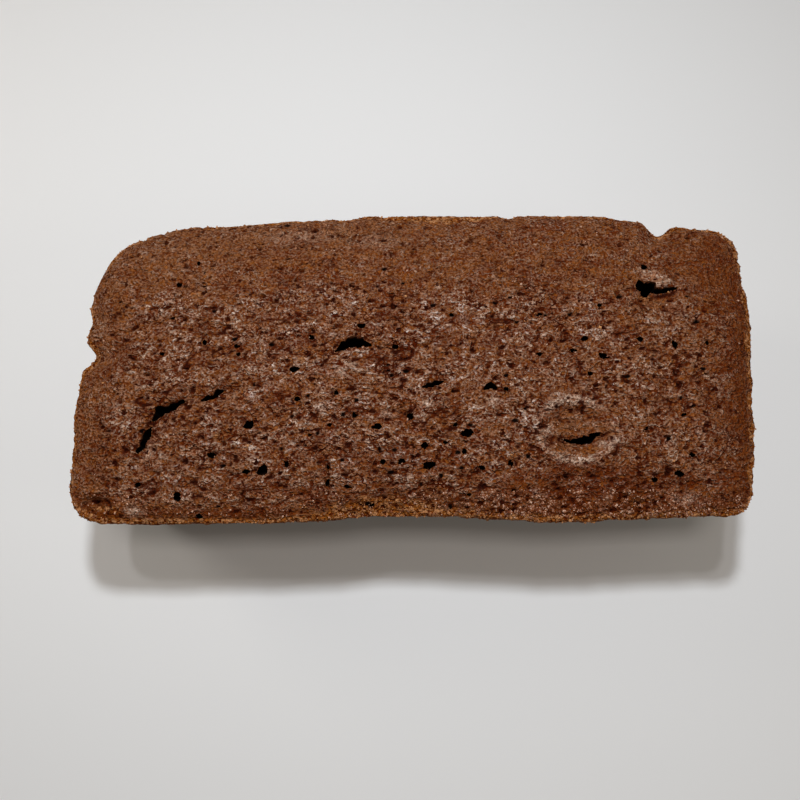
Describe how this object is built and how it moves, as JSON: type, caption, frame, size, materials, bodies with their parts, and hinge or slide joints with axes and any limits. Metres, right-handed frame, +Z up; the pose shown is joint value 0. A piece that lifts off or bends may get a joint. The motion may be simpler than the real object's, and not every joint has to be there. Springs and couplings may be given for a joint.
{
  "type": "chocolate loaf cake",
  "caption": "Uncut chocolate loaf cake on its flat base: domed, pitted crust with cracks, holes and a crater, thin overhanging rim, walls drawing in below.",
  "frame": {"origin": "on the table, under the middle of the loaf's outline", "axes": "+X along the loaf to the right of the picture, +Y across it to its far side, +Z up through the crust"},
  "size_m": [0.1718, 0.0824, 0.0486],
  "materials": {
    "chocolate_crust": "matte baked crust with a faint sheen on its high grains"
  },
  "bodies": {
    "root": {"chocolate_cake": "chocolate_crust"}
  },
  "joints": []
}
